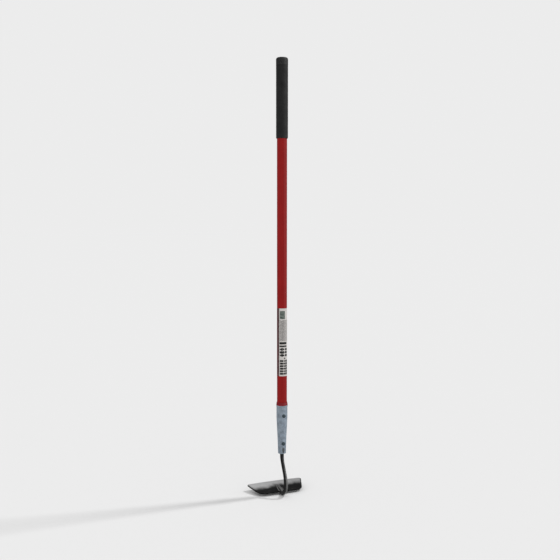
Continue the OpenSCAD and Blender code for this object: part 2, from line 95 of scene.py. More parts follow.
class Bench:
    """Places the nodes of one tree and joins them."""

    def __init__(self, tree: Tree) -> None:
        """Starts on a material's or group's node tree."""
        self.tree = tree

    def place(self, kind: str, inputs: Optional[dict] = None, **settings: object) -> bpy.types.Node:
        """Adds one node.

        Args:
            kind: The node's type after "ShaderNode", such as "Math".
            inputs: Values or sockets for the node's inputs, by name or number.
            settings: The node's own properties.

        Returns:
            The new node.
        """
        node = self.tree.nodes.new("ShaderNode" + kind)
        for key, value in settings.items():
            setattr(node, key, value)
        for key, value in (inputs or {}).items():
            self.feed(node.inputs[key], value)
        return node

    def feed(self, socket: Socket, value: object) -> None:
        """Joins a socket to an input, or sets the input's own value."""
        if isinstance(value, Socket):
            self.tree.links.new(value, socket)
        elif isinstance(value, tuple) and socket.type == "RGBA" and len(value) == 3:
            socket.default_value = (*value, 1.0)
        else:
            socket.default_value = value

    def math(self, operation: str, a: object, b: object = 0.0, clamp: bool = False) -> Socket:
        """Returns the result of a Math node with two values."""
        return self.place("Math", {0: a, 1: b}, operation=operation, use_clamp=clamp).outputs[0]

    def times(self, a: object, b: object, clamp: bool = False) -> Socket:
        """Returns a times b."""
        return self.math("MULTIPLY", a, b, clamp)

    def plus(self, a: object, b: object, clamp: bool = False) -> Socket:
        """Returns a plus b."""
        return self.math("ADD", a, b, clamp)

    def minus(self, a: object, b: object, clamp: bool = False) -> Socket:
        """Returns a minus b."""
        return self.math("SUBTRACT", a, b, clamp)

    def weigh(self, a: Socket, b: Socket, share: float) -> Socket:
        """Returns a share of a plus the rest of b."""
        return self.plus(self.times(a, share), self.times(b, 1.0 - share))

    def band(self, value: Socket, low: float, high: float) -> Socket:
        """Returns 1 where a value lies between two limits, else 0."""
        return self.times(self.math("GREATER_THAN", value, low), self.math("LESS_THAN", value, high))

    def span(self, value: Socket, low: float, high: float, out_low: float = 0.0,
             out_high: float = 1.0, smooth: bool = False) -> Socket:
        """Maps a value from one range to another and clamps it.

        Args:
            value: The value to map.
            low: Value that gives out_low.
            high: Value that gives out_high.
            out_low: Result at low.
            out_high: Result at high.
            smooth: Eases both ends of the range.

        Returns:
            The mapped value.
        """
        kind = "SMOOTHSTEP" if smooth else "LINEAR"
        inputs = {0: value, 1: low, 2: high, 3: out_low, 4: out_high}
        return self.place("MapRange", inputs, interpolation_type=kind).outputs[0]

    def blend(self, share: object, a: object, b: object) -> Socket:
        """Returns colour a mixed with colour b by a share from 0 to 1."""
        return self.place("Mix", {0: share, 6: a, 7: b}, data_type="RGBA").outputs[2]

    def vector(self, operation: str, a: object, b: object) -> Socket:
        """Returns the vector that a Vector Math node makes of two."""
        return self.place("VectorMath", {0: a, 1: b}, operation=operation).outputs[0]

    def length(self, vector: Socket) -> Socket:
        """Returns a vector's length."""
        return self.place("VectorMath", {0: vector}, operation="LENGTH").outputs["Value"]

    def split(self, vector: Socket) -> tuple[Socket, ...]:
        """Returns a vector's three parts."""
        return tuple(self.place("SeparateXYZ", {0: vector}).outputs)

    def join(self, x: object, y: object, z: object = 0.0) -> Socket:
        """Returns a vector made of its parts."""
        return self.place("CombineXYZ", {0: x, 1: y, 2: z}).outputs[0]

    def stretch(self, vector: Socket, scale: Vector3) -> Socket:
        """Returns a vector scaled along each axis."""
        return self.place("Mapping", {"Vector": vector, "Scale": scale}).outputs[0]

    def noise(self, vector: Socket, scale: float, detail: float = 4.0, rough: float = 0.55) -> Socket:
        """Returns the value of a Noise texture, about 0.5 on average."""
        inputs = {"Vector": vector, "Scale": scale, "Detail": detail, "Roughness": rough}
        return self.place("TexNoise", inputs).outputs[0]

    def use(self, group: Tree, vector: Socket, **inputs: float) -> Socket:
        """Returns the value of a shared effect, given a place and the effect's own inputs."""
        return self.place("Group", {"vector": vector, **inputs}, node_tree=group).outputs[0]


class GroupBench(Bench):
    """The bench of a node group that turns a place into one value."""

    def __init__(self, name: str, **inputs: float) -> None:
        """Starts a group with a vector input and one more for each keyword.

        Args:
            name: The group's name.
            inputs: Each further input's value.
        """
        super().__init__(bpy.data.node_groups.new(name, "ShaderNodeTree"))
        face = self.tree.interface
        face.new_socket("vector", in_out="INPUT", socket_type="NodeSocketVector")
        for key, value in inputs.items():
            socket = face.new_socket(key, in_out="INPUT", socket_type="NodeSocketFloat")
            socket.default_value = value
        face.new_socket("Value", in_out="OUTPUT", socket_type="NodeSocketFloat")
        self.given = self.tree.nodes.new("NodeGroupInput").outputs
        self.sink = self.tree.nodes.new("NodeGroupOutput").inputs[0]

    def end(self, value: Socket) -> Tree:
        """Sends a value out of the group and returns the group."""
        self.feed(self.sink, value)
        return self.tree


class Effects:
    """The effects that more than one finish shares, each built once, at its first use."""

    @cached_property
    def mottle(self) -> Tree:
        """Soft patches with finer patches inside them."""
        bench = GroupBench("Mottle", patches=60.0, specks=900.0, contrast=1.0)
        broad, fine = (
            bench.place("TexNoise", {"Vector": bench.given["vector"], "Scale": bench.given[key]})
            for key in ("patches", "specks"))
        total = bench.weigh(broad.outputs[0], fine.outputs[0], 0.65)
        centred = bench.times(bench.minus(total, 0.5), bench.given["contrast"])
        return bench.end(bench.plus(centred, 0.5, clamp=True))

    @cached_property
    def grain(self) -> Tree:
        """Fine lines that run along Z, as fibres, brushing or wood grain do."""
        bench = GroupBench("Lengthwise grain", across=1200.0, along=12.0)
        across = bench.given["across"]
        scale = bench.join(across, across, bench.given["along"])
        drawn = bench.vector("MULTIPLY", bench.given["vector"], scale)
        return bench.end(bench.span(bench.noise(drawn, 1.0, detail=5.0, rough=0.6), 0.3, 0.7))

    @cached_property
    def scuffs(self) -> Tree:
        """Sparse short scratches; amount is the share of lines that show."""
        bench = GroupBench("Scuffs", amount=0.5, length=30.0, width=700.0)
        x, y, z = bench.split(bench.given["vector"])
        slant = bench.plus(x, bench.times(y, 0.45))
        width = bench.given["width"]
        scale = bench.join(bench.given["length"], width, width)
        lines = bench.noise(bench.vector("MULTIPLY", bench.join(slant, y, z), scale), 1.0, detail=2.0)
        area = bench.noise(bench.given["vector"], 45.0, detail=3.0)
        shown = bench.times(bench.span(lines, 0.62, 0.7), bench.span(area, 0.45, 0.62))
        return bench.end(bench.times(shown, bench.given["amount"], clamp=True))

    @cached_property
    def dust(self) -> Tree:
        """Dried soil that thins out with height above the ground."""
        bench = GroupBench("Dust", height=0.08, amount=0.5)
        vector = bench.given["vector"]
        level = bench.math("DIVIDE", bench.split(vector)[2], bench.given["height"])
        fade = bench.minus(1.0, level, clamp=True)
        spots = bench.span(bench.noise(vector, 320.0, detail=6.0, rough=0.7), 0.4, 0.7)
        return bench.end(bench.times(bench.times(fade, spots), bench.given["amount"], clamp=True))

    @cached_property
    def mark(self) -> Tree:
        """One printed shape on a flat sheet: 1 inside it and 0 outside.

        A squareness of 1 prints a diamond, 2 a disc and 9 a bar.
        """
        bench = GroupBench("Printed mark", x=0.0, y=0.0, half_width=5.0, half_height=5.0, squareness=9.0)
        given = bench.given
        offset = bench.vector("SUBTRACT", given["vector"], bench.join(given["x"], given["y"]))
        powers = []
        for part, half in zip(bench.split(offset), ("half_width", "half_height")):
            share = bench.math("ABSOLUTE", bench.math("DIVIDE", part, given[half]))
            powers.append(bench.math("POWER", share, given["squareness"]))
        return bench.end(bench.math("LESS_THAN", bench.plus(*powers), 1.0))


class Skin(Bench):
    """The bench of one material, with its shader and the shared effects."""

    def __init__(self, material: Material, effects: Effects) -> None:
        """Lays out the shader, the output and the object coordinates, in metres.

        Args:
            material: The new material.
            effects: The shared node groups.
        """
        material.use_nodes = True
        material.node_tree.nodes.clear()
        super().__init__(material.node_tree)
        self.effects = effects
        self.shader = self.place("BsdfPrincipled")
        self.place("OutputMaterial", {"Surface": self.shader.outputs[0]})
        self.here = self.place("TexCoord").outputs["Object"]

    def set(self, **inputs: object) -> None:
        """Feeds the shader's inputs, with _ for each space in a name."""
        for key, value in inputs.items():
            self.feed(self.shader.inputs[key.replace("_", " ")], value)

    def mottle(self, patches: float, specks: float, contrast: float) -> Socket:
        """Returns soft patches with specks in them, from 0 to 1."""
        return self.use(self.effects.mottle, self.here, patches=patches, specks=specks, contrast=contrast)

    def grain(self, across: float, along: float) -> Socket:
        """Returns fine lengthwise lines, from 0 to 1."""
        return self.use(self.effects.grain, self.here, across=across, along=along)

    def scuffs(self, amount: float, length: float, width: float) -> Socket:
        """Returns a mask of short scratches."""
        return self.use(self.effects.scuffs, self.here, amount=amount, length=length, width=width)


@dataclass(frozen=True)
class Finish:
    """A surface finish. Each kind of finish says how its colour is made."""

    name: str
    colour: Colour
    roughness: float = 0.5
    metallic: float = 0.0
    bump: float = 0.1

    def material(self, effects: Effects) -> Material:
        """Builds the finish's material.

        Args:
            effects: The shared node groups.

        Returns:
            The new material.
        """
        material = bpy.data.materials.new(self.name)
        skin = Skin(material, effects)
        skin.set(Base_Color=self.colour, Roughness=self.roughness, Metallic=self.metallic)
        self.dress(skin)
        return material

    def dress(self, skin: Skin) -> None:
        """Feeds the shader's colour, roughness and normal."""
        raise NotImplementedError

    def vary(self, skin: Skin, share: Socket, amount: float) -> Socket:
        """Returns the base colour, darker and lighter by an amount as share goes from 0 to 1."""
        dark = tuple(channel * (1 - amount) for channel in self.colour)
        light = tuple(min(1.0, channel * (1 + amount)) for channel in self.colour)
        return skin.blend(share, dark, light)

    def gloss(self, skin: Skin, share: Socket, low: float, high: float) -> Socket:
        """Returns the base roughness plus an offset that goes from low to high with share."""
        return skin.span(share, 0.2, 0.8, self.roughness + low, self.roughness + high)

    def relief(self, skin: Skin, height: Socket, depth: float) -> None:
        """Feeds the shader's normal from a height of 0 to 1, times a depth in metres."""
        bump = skin.place("Bump", {"Strength": self.bump, "Distance": depth, "Height": height})
        skin.set(Normal=bump.outputs[0])


@dataclass(frozen=True)
class FibreglassFinish(Finish):
    """Pultruded tube: a pigmented veil over glass strands that run lengthwise.

    A painted shade darkens a strip down the tube's side at negative x, beside the
    label; its height range and its place across the tube are given in metres.
    """

    film_low: float = 393.0 * MM
    film_high: float = 609.0 * MM
    film_x: float = -14.3 * MM
    film_fade: float = 0.5 * MM
    scuffed: Colour = (0.42, 0.075, 0.06)
    # Colour of the painted shade strip beside the label.
    grimy: Colour = (0.075, 0.012, 0.018)

    def dress(self, skin: Skin) -> None:
        """See Finish.dress."""
        grain = skin.grain(650.0, 9.0)
        cloud = skin.mottle(26.0, 420.0, 1.6)
        scuffs = skin.scuffs(0.35, 60.0, 900.0)
        veil = self.vary(skin, skin.weigh(grain, cloud, 0.55), 0.3)
        # Painted shade: a dark strip down the tube's side at negative x over the label's height, blotched
        # by the mottle.
        x, _, z = skin.split(skin.here)
        side = skin.span(x, self.film_x - self.film_fade, self.film_x, 1.0, 0.0)
        edge_shade_share = skin.times(side, skin.span(cloud, 0.1, 0.7, 0.55, 0.95))
        edge_shade = skin.times(skin.band(z, self.film_low, self.film_high), edge_shade_share)
        rough = skin.plus(self.roughness - 0.08, skin.times(cloud, 0.18))
        skin.set(Base_Color=skin.blend(edge_shade, skin.blend(scuffs, veil, self.scuffed), self.grimy),
                 Roughness=skin.plus(rough, skin.times(scuffs, 0.2)), Specular_IOR_Level=0.1)
        self.relief(skin, grain, 0.05 * MM)


@dataclass(frozen=True)
class FoamFinish(Finish):
    """Closed-cell vinyl foam: fine pits under a dull skin that polishes in the hand."""

    def dress(self, skin: Skin) -> None:
        """See Finish.dress."""
        cells = skin.place("TexVoronoi", {"Vector": skin.here, "Scale": 900.0})
        pits = skin.span(cells.outputs["Distance"], 0.1, 0.55)
        cloud = skin.mottle(42.0, 700.0, 2.0)
        skin.set(Base_Color=self.vary(skin, skin.times(pits, cloud), 0.45),
                 Roughness=self.gloss(skin, cloud, 0.08, -0.1),
                 Sheen_Weight=0.03, Sheen_Roughness=0.6, Specular_IOR_Level=0.3)
        self.relief(skin, skin.weigh(pits, cloud, 0.6), 0.25 * MM)


@dataclass(frozen=True)
class TexturedFinish(Finish):
    """One even material with a fine texture, such as a moulding or a hammered head.

    texture holds the Mottle group's values and rubbing the Scuffs group's.
    gloss_swing is how far roughness moves at the texture's low and high spots.
    """

    texture: Vector3 = (180.0, 1500.0, 2.2)
    tone: float = 0.4
    rubbing: Vector3 = (0.4, 120.0, 800.0)
    rubbed: Colour = (0.09, 0.09, 0.088)
    gloss_swing: tuple[float, float] = (-0.06, 0.08)
    specular: float = 0.5
    depth: float = 0.2 * MM

    def dress(self, skin: Skin) -> None:
        """See Finish.dress."""
        texture = skin.mottle(*self.texture)
        toned = self.vary(skin, texture, self.tone)
        skin.set(Base_Color=skin.blend(skin.scuffs(*self.rubbing), toned, self.rubbed),
                 Roughness=self.gloss(skin, texture, *self.gloss_swing), Specular_IOR_Level=self.specular)
        self.relief(skin, texture, self.depth)


@dataclass(frozen=True)
class ZincFinish(Finish):
    """Zinc-plated steel: pale crystals over blue-grey, with painted shade where it is pressed in.

    The ferrule's lower taper is given in metres, so that painted shade can be laid
    wherever the metal lies inside it.
    """

    foot_z: float = 138.5 * MM
    foot_radius: float = 12.6 * MM
    taper: float = 1.5 / 49.0
    # Middle and reach of the painted shade round the crimp, in metres.
    dirt_middle: Vector3 = (0.0, -12.0 * MM, 151.0 * MM)
    dirt_reach: Vector3 = (6.4 * MM, 6.0 * MM, 11.0 * MM)
    warm: Colour = (0.42, 0.46, 0.49)
    rubbed: Colour = (0.52, 0.57, 0.63)
    # Colour of the painted shade in the pressed recesses.
    dirty: Colour = (0.085, 0.09, 0.09)

    def dirt(self, skin: Skin) -> Socket:
        """Works out the painted shade in the pressed recesses and round the crimp.

        Args:
            skin: The material's bench.

        Returns:
            How dark the painted shade is: deeper inside the lower taper and near the crimp.
        """
        x, y, z = skin.split(skin.here)
        wall = skin.plus(skin.times(skin.minus(z, self.foot_z), self.taper), self.foot_radius)
        sunk = skin.minus(wall, skin.length(skin.join(x, y)))
        pressed = skin.span(sunk, 0.12 * MM, 0.55 * MM, 0.0, 0.9)
        offset = skin.vector("SUBTRACT", skin.here, self.dirt_middle)
        away = skin.length(skin.vector("DIVIDE", offset, self.dirt_reach))
        ragged = skin.plus(away, skin.span(skin.noise(skin.here, 420.0), 0.3, 0.7, -0.25, 0.25))
        return skin.math("MAXIMUM", pressed, skin.span(ragged, 0.35, 1.1, 0.72, 0.0, smooth=True))

    def dress(self, skin: Skin) -> None:
        """See Finish.dress."""
        cells = skin.place("TexVoronoi", {"Vector": skin.here, "Scale": 240.0})
        crystal = skin.place("SeparateColor", {0: cells.outputs["Color"]}).outputs[0]
        cloud = skin.mottle(70.0, 520.0, 2.4)
        share = skin.weigh(crystal, cloud, 0.4)
        warmth = skin.span(cloud, 0.55, 0.85, 0.0, 0.4)
        plated = skin.blend(warmth, self.vary(skin, share, 0.4), self.warm)
        rubbed = skin.blend(skin.scuffs(0.6, 90.0, 600.0), plated, self.rubbed)
        # Painted shade: the zinc is darkened where it is pressed in and round the crimp.
        skin.set(Base_Color=skin.blend(self.dirt(skin), rubbed, self.dirty),
                 Roughness=self.gloss(skin, share, -0.08, 0.1))
        self.relief(skin, cloud, 0.12 * MM)


@dataclass(frozen=True)
class WoodFinish(Finish):
    """Plain turned ash, with the grain along the tool."""

    def dress(self, skin: Skin) -> None:
        """See Finish.dress."""
        grain = skin.grain(420.0, 10.0)
        share = skin.weigh(grain, skin.mottle(30.0, 500.0, 1.5), 0.7)
        skin.set(Base_Color=self.vary(skin, share, 0.35))
        self.relief(skin, grain, 0.1 * MM)


@dataclass(frozen=True)
class LacquerFinish(Finish):
    """Black lacquer over forged steel, dusty and rubbed where wear reaches it; one side can be lightened as
    a painted highlight.
    """

    wear: Wear = Wear.HANDLED
    dust_height: float = 0.07
    dust_amount: float = 0.6
    rubbed_side: float = 0.0
    # Colour of scuffed lacquer; it also paints the highlight on the +x side.
    rubbed: Colour = (0.15, 0.15, 0.148)
    dusty: Colour = (0.15, 0.146, 0.14)

    def dress(self, skin: Skin) -> None:
        """See Finish.dress."""
        forged = skin.mottle(130.0, 900.0, 2.0)
        scuffs = skin.scuffs(self.wear.value, 200.0, 500.0)
        dust = skin.use(skin.effects.dust, skin.here, height=self.dust_height, amount=self.dust_amount)
        x, _, z = skin.split(skin.here)
        ragged = skin.plus(x, skin.span(forged, 0.2, 0.8, -0.8 * MM, 0.8 * MM))
        # Painted highlight: the +x side is lightened towards the rubbed colour, most strongly low down; the
        # scuffs mixed in below are real wear.
        side = skin.span(ragged, -3.0 * MM, 1.6 * MM, 0.0, self.rubbed_side, smooth=True)
        side = skin.times(side, skin.span(z, 58.0 * MM, 100.0 * MM, 1.0, 0.12))
        coat = self.vary(skin, forged, 0.5)
        worn = skin.blend(skin.math("MAXIMUM", scuffs, side), coat, self.rubbed)
        rough = self.gloss(skin, forged, -0.08, 0.08)
        skin.set(Base_Color=skin.blend(dust, worn, self.dusty),
                 Roughness=skin.plus(rough, skin.times(dust, 0.3), clamp=True), Specular_IOR_Level=0.6)
        self.relief(skin, forged, 0.35 * MM)


@dataclass(frozen=True)
class BladeFinish(Finish):
    """Black lacquer on the plate, ground and scoured bare towards the cutting edge."""

    bare: Colour = (0.62, 0.62, 0.62)
    shaded: Colour = (0.16, 0.16, 0.16)
    scuffed: Colour = (0.13, 0.13, 0.128)
    edge_y: float = 74.4 * MM
    bare_depth: float = 19.0 * MM
    fade_depth: float = 30.0 * MM
    wander: float = 26.0 * MM
    scoured_side: float = 45.0 * MM
    edge_half: float = 97.5 * MM
    side_lean: float = 25.5 / 73.0

    def bareness(self, skin: Skin, x: Socket, y: Socket) -> Socket:
        """Works out where the steel is bare: near the edge, fading back in a ragged line.

        Args:
            skin: The material's bench.
            x: A place's distance to the side.
            y: Its distance to the front.

        Returns:
            How bare the steel is, from 0 to 1.
        """
        depth = skin.minus(self.edge_y, y)
        ragged = skin.noise(skin.stretch(skin.here, (1.0, 0.6, 1.0)), 55.0, detail=6.0, rough=0.65)
        sideways = skin.math("ABSOLUTE", x)
        middle = skin.span(sideways, 0.0, self.scoured_side, 8.0 * MM, 0.0, smooth=True)
        uneven = skin.plus(middle, skin.span(x, 0.0, 60.0 * MM, 0.0, 9.0 * MM))
        wandered = skin.plus(depth, skin.times(skin.minus(ragged, 0.5), self.wander))
        reach = skin.plus(wandered, uneven)
        faded = skin.span(reach, self.bare_depth, self.bare_depth + self.fade_depth, 1.0, 0.0, smooth=True)
        half = skin.minus(self.edge_half, skin.times(depth, self.side_lean))
        rim = skin.span(skin.minus(half, sideways), 1.0 * MM, 6.5 * MM, 0.1, 1.0, smooth=True)
        near_edge = skin.span(y, self.edge_y - 12.0 * MM, self.edge_y, 0.0, 0.8)
        return skin.times(faded, skin.math("MAXIMUM", rim, near_edge))

    def dress(self, skin: Skin) -> None:
        """See Finish.dress."""
        x, y, _ = skin.split(skin.here)
        bare = self.bareness(skin, x, y)
        mottle = skin.mottle(70.0, 900.0, 2.2)
        strokes = skin.noise(skin.stretch(skin.here, (90.0, 1500.0, 1500.0)), 1.0, detail=3.0)
        coat = skin.blend(skin.scuffs(0.6, 25.0, 420.0), self.vary(skin, mottle, 0.4), self.scuffed)
        dark = tuple(channel * 0.78 for channel in self.bare)
        steel = skin.blend(skin.times(strokes, mottle), dark, self.bare)
        steel = skin.blend(skin.span(x, -60.0 * MM, 70.0 * MM, 0.0, 0.42), steel, self.shaded)
        skin.set(Base_Color=skin.blend(bare, coat, steel), Metallic=skin.times(bare, self.metallic * 0.8),
                 Roughness=skin.span(bare, 0.0, 1.0, self.roughness + 0.14, self.roughness + 0.04),
                 Specular_IOR_Level=skin.span(bare, 0.0, 1.0, 0.12, 0.45))
        self.relief(skin, skin.weigh(mottle, strokes, 0.5), 0.2 * MM)


@dataclass(frozen=True)
class PrintMark:
    """One printed shape on the label, in millimetres from its lower left corner."""

    x: float
    y: float
    half_width: float
    half_height: float
    squareness: float = 9.0


@dataclass(frozen=True)
class LabelFinish(Finish):
    """Scuffed paper printed with plain bars, discs and diamonds, in millimetres, with painted shade down
    its first edge.
    """

    ink: Colour = (0.008, 0.009, 0.009)
    # Colour of the painted shade strip down the label's first edge.
    margin: Colour = (0.04, 0.013, 0.015)
    tint: Colour = (0.27, 0.25, 0.25)
    worn: Colour = (0.6, 0.57, 0.52)
    width: float = 50.8
    height: float = 217.0
    margin_width: float = 4.0
    line_pitch: float = 2.4
    marks: tuple[PrintMark, ...] = ()

    def dress(self, skin: Skin) -> None:
        """See Finish.dress."""
        sheet = skin.place("TexCoord").outputs["UV"]
        flat = skin.stretch(sheet, (self.width, self.height, 1.0))
        x, y, _ = skin.split(flat)
        patches = skin.mottle(120.0, 1100.0, 1.8)
        # Painted shade: a dark strip down the label's first edge, on the side away from the key light.
        margin = skin.times(skin.math("LESS_THAN", x, self.margin_width),
                            skin.span(patches, 0.3, 0.8, 0.97, 0.8))
        paper = skin.blend(margin, self.vary(skin, patches, 0.12), self.margin)
        stripes = skin.noise(skin.stretch(flat, (0.05, 0.55, 1.0)), 1.0, detail=3.0, rough=0.7)
        picture = skin.blend(skin.span(stripes, 0.4, 0.6), (0.045, 0.07, 0.055), (0.2, 0.24, 0.21))
        panel = skin.times(skin.band(y, 183.0, 209.0), skin.band(x, 6.0, 23.0))
        paper = self.print_lines(skin, flat, skin.blend(panel, paper, picture))
        masks = [skin.use(skin.effects.mark, flat, **vars(mark)) for mark in self.marks]
        marked = reduce(lambda a, b: skin.math("MAXIMUM", a, b), masks, 0.0)
        inked = skin.times(marked, skin.span(patches, 0.8, 0.95, 0.99, 0.6))
        paper = skin.blend(inked, paper, self.ink)
        skin.set(Base_Color=skin.blend(skin.scuffs(0.8, 160.0, 420.0), paper, self.worn),
                 Roughness=self.gloss(skin, patches, -0.06, 0.08))
        self.relief(skin, patches, 0.1 * MM)

    def print_lines(self, skin: Skin, flat: Socket, paper: Socket) -> Socket:
        """Prints a block of grey lines that run along the tool and hold no words.

        Args:
            skin: The material's bench.
            flat: The sheet's place in millimetres.
            paper: The colour under the print.

        Returns:
            The colour with the lines on it.
        """
        x, y, _ = skin.split(flat)
        rows = skin.math("SINE", skin.times(x, 2 * math.pi / self.line_pitch))
        dashes = skin.noise(skin.stretch(flat, (0.42, 0.35, 1.0)), 1.0, rough=0.7)
        inked = skin.times(skin.math("GREATER_THAN", rows, -0.25), skin.span(dashes, 0.42, 0.5))
        block = skin.times(skin.band(y, 113.0, 180.0), skin.band(x, 5.0, 46.0))
        weight = skin.span(skin.math("ABSOLUTE", skin.minus(x, 15.0)), 3.0, 11.0, 0.85, 0.5)
        tinted = skin.blend(skin.times(block, 0.3), paper, self.tint)
        return skin.blend(skin.times(inked, skin.times(block, weight)), tinted, self.ink)


@dataclass(frozen=True)
class FloorFinish(Finish):
    """Matt pale floor with a barely visible unevenness."""

    def dress(self, skin: Skin) -> None:
        """See Finish.dress."""
        cloud = skin.noise(skin.here, 1.5, detail=2.0)
        skin.set(Base_Color=self.vary(skin, cloud, 0.002), Specular_IOR_Level=0.0)


# ---- mesh work


def clear_selection() -> None:
    """Leaves object mode with nothing selected."""
    if bpy.context.object is not None and bpy.context.object.mode != "OBJECT":
        bpy.ops.object.mode_set(mode="OBJECT")
    bpy.ops.object.select_all(action="DESELECT")


def activate(piece: Piece) -> None:
    """Leaves object mode with one piece selected and active."""
    clear_selection()
    piece.select_set(True)
    bpy.context.view_layer.objects.active = piece


def take_new(name: str) -> Piece:
    """Names the primitive that was just added and returns it."""
    piece = bpy.context.object
    piece.name = name
    piece.data.name = name
    return piece


def edit(piece: Piece, steps: Callable[[], None]) -> None:
    """Runs edit-mode steps on one piece, with everything in it selected.

    Args:
        piece: The piece to shape.
        steps: The operators to run.
    """
    activate(piece)
    bpy.ops.object.mode_set(mode="EDIT")
    bpy.ops.mesh.select_all(action="SELECT")
    steps()
    bpy.ops.object.mode_set(mode="OBJECT")


def select_points(piece: Piece, wanted: Callable[[Vector], bool]) -> None:
    """Selects the points, and the edges and faces between them, that pass a test.

    Args:
        piece: The piece, in edit mode.
        wanted: Tests a point's place.
    """
    bpy.ops.mesh.select_mode(type="VERT")
    bpy.ops.mesh.select_all(action="DESELECT")
    bpy.ops.object.mode_set(mode="OBJECT")
    for point in piece.data.vertices:
        point.select = wanted(point.co)
    bpy.ops.object.mode_set(mode="EDIT")


def apply_place(piece: Piece) -> None:
    """Moves a piece's place, turn and size into its mesh."""
    activate(piece)
    bpy.ops.object.transform_apply(location=True, rotation=True, scale=True)


def apply_modifier(piece: Piece, kind: str, **settings: object) -> None:
    """Adds a modifier, sets it and applies it.

    Args:
        piece: The piece to change.
        kind: The modifier's type.
        settings: Its properties.
    """
    activate(piece)
    modifier = piece.modifiers.new(kind.title(), kind)
    for key, value in settings.items():
        setattr(modifier, key, value)
    bpy.ops.object.modifier_apply(modifier=modifier.name)


def face_outwards() -> None:
    """Turns every face outwards, in edit mode."""
    bpy.ops.mesh.normals_make_consistent(inside=False)


def tidy_faces() -> None:
    """Merges doubles and turns every face outwards, in edit mode."""
    bpy.ops.mesh.select_all(action="SELECT")
    bpy.ops.mesh.remove_doubles(threshold=MERGE_REACH)
    face_outwards()


def shade(piece: Piece, angle: float = 35.0) -> None:
    """Shades a piece smooth, with a crease wherever faces meet past an angle in degrees."""
    activate(piece)
    bpy.ops.object.shade_smooth_by_angle(angle=math.radians(angle))


def merged_copy(node: str, name: str) -> Piece:
    """Copies a frame node's mesh and merges it into one closed skin.

    Args:
        node: The frame node.
        name: The copy's name.

    Returns:
        The copy, which has no parent and no material.
    """
    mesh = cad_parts[node].data.copy()
    mesh.materials.clear()
    mesh.name = name
    piece = bpy.data.objects.new(name, mesh)
    bpy.context.scene.collection.objects.link(piece)
    if "custom_normal" in mesh.attributes:
        mesh.attributes.remove(mesh.attributes["custom_normal"])
    edit(piece, tidy_faces)
    return piece


def roughen(piece: Piece, cell: float, passes: int, marks: tuple[str, float],
            strength: float, middle: float, angle: float) -> None:
    """Gives a forged or welded piece an even skin, eased corners and shallow marks.

    Args:
        piece: The piece to change.
        cell: Size of the new skin's cells.
        passes: How often its corners are eased.
        marks: Name of the marks' texture and the size of its patches.
        strength: Height from the deepest mark to the highest.
        middle: Share of that height that lies under the old skin.
        angle: Angle in degrees past which a crease stays.
    """
    texture = bpy.data.textures.new(marks[0], "CLOUDS")
    texture.noise_scale, texture.noise_depth = marks[1], 3
    apply_modifier(piece, "REMESH", mode="VOXEL", voxel_size=cell)
    apply_modifier(piece, "SMOOTH", factor=0.5, iterations=passes)
    apply_modifier(piece, "DISPLACE", texture=texture, strength=strength, mid_level=middle,
                   texture_coords="LOCAL")
    edit(piece, face_outwards)
    shade(piece, angle)


# ---- sub-assemblies


@dataclass
class SubAssembly:
    """A group of pieces whose materials share the effects."""

    effects: Effects

    def dress_nodes(self, finish: Finish, *nodes: str) -> None:
        """Gives frame nodes one material and leaves their meshes alone."""
        material = finish.material(self.effects)
        for node in nodes:
            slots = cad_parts[node].data.materials
            slots.clear()
            slots.append(material)
            LOG.info("%s: frame node dressed", node)

    def fit(self, piece: Piece, finish: Finish, slot: str, node: str) -> None:
        """Gives a new piece its material, its body and what it stands for.

        Args:
            piece: The finished piece.
            finish: Its finish.
            slot: Not used.
            node: The frame node that it stands for.
        """
        piece.data.materials.clear()
        piece.data.materials.append(finish.material(self.effects))
        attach(piece, BODY)
        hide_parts(node)
        LOG.info("%s: %d faces", piece.name, len(piece.data.polygons))


@dataclass
class Handle(SubAssembly):
    """The fibreglass tube with the wooden pieces that close its two ends."""

    tube: Finish = FibreglassFinish("Red fibreglass", (0.30, 0.0108, 0.0108), roughness=0.42, bump=0.35)
    wood: Finish = WoodFinish("Turned ash", (0.45, 0.27, 0.12), roughness=0.6, bump=0.4)

    def dress(self) -> None:
        """Dresses the three frame nodes."""
        self.dress_nodes(self.tube, "handle_tube")
        self.dress_nodes(self.wood, "tube_end_plug", "core_plug")


